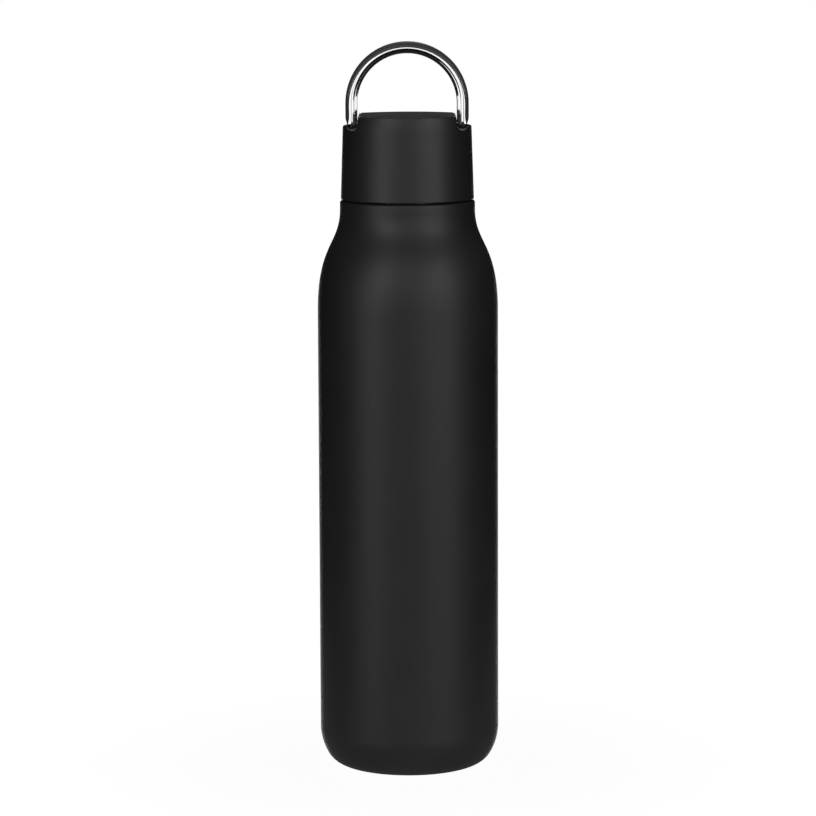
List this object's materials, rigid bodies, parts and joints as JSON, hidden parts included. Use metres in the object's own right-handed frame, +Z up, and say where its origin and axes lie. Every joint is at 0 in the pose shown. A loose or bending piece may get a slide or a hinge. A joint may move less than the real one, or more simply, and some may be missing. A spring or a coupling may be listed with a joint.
{
  "type": "insulated water bottle",
  "caption": "Vacuum-insulated water bottle with a rounded shoulder, a screw lid with gasket and a tilting carry loop.",
  "frame": {"origin": "centre of the base, on the surface the bottle stands on", "axes": "+Z up along the bottle's axis, +X towards one leg of the carry loop, -Y the front, where the loop is seen face on"},
  "size_m": [0.0702, 0.0702, 0.2835],
  "materials": {
    "powder_coat": "matte black powder coat on steel",
    "steel": "drawn stainless steel, electropolished",
    "copper": "thin copper foil",
    "seal_glass": "dark solder glass",
    "getter_metal": "dull sintered metal",
    "cap_plastic": "matte black, fine moulded grain",
    "liner_plastic": "satin black polypropylene",
    "foam": "closed-cell insulating foam",
    "silicone": "translucent grey silicone",
    "chrome": "polished",
    "loop_plastic": "matte dark grey moulded cover",
    "washer_nylon": "black nylon"
  },
  "bodies": {
    "flask": {"outer_shell": "powder_coat", "threaded_neck": "steel", "inner_vessel": "steel", "inner_bottom": "steel", "copper_shield": "copper", "outer_bottom": "steel", "vacuum_seal_bead": "seal_glass", "getter": "getter_metal", "base_cover": "steel"},
    "lid_seal": {"lid_gasket": "silicone"},
    "lid": {"lid_shell": "cap_plastic", "lid_liner": "liner_plastic", "lid_insulation": "foam", "pivot_pins": "steel", "friction_washers": "washer_nylon"},
    "carry_loop": {"loop_core": "chrome", "loop_cover": "loop_plastic"}
  },
  "joints": [
    {"name": "lid_lift", "type": "slide", "parent": "flask", "child": "lid_seal", "axis": [0, 0, 1], "range_m": [0, 0.041]},
    {"name": "lid_turn", "type": "hinge", "parent": "lid_seal", "child": "lid", "pos_m": [0, 0, 0.2416], "axis": [0, 0, 1], "range_deg": [0, 1800]},
    {"name": "loop_tilt", "type": "hinge", "parent": "lid", "child": "carry_loop", "pos_m": [0, 0, 0.252], "axis": [1, 0, 0], "range_deg": [-66, 66]}
  ],
  "couplings": [
    {"joint": "lid_lift", "follows": "lid_turn", "m_per_rad": 0.0012732}
  ]
}
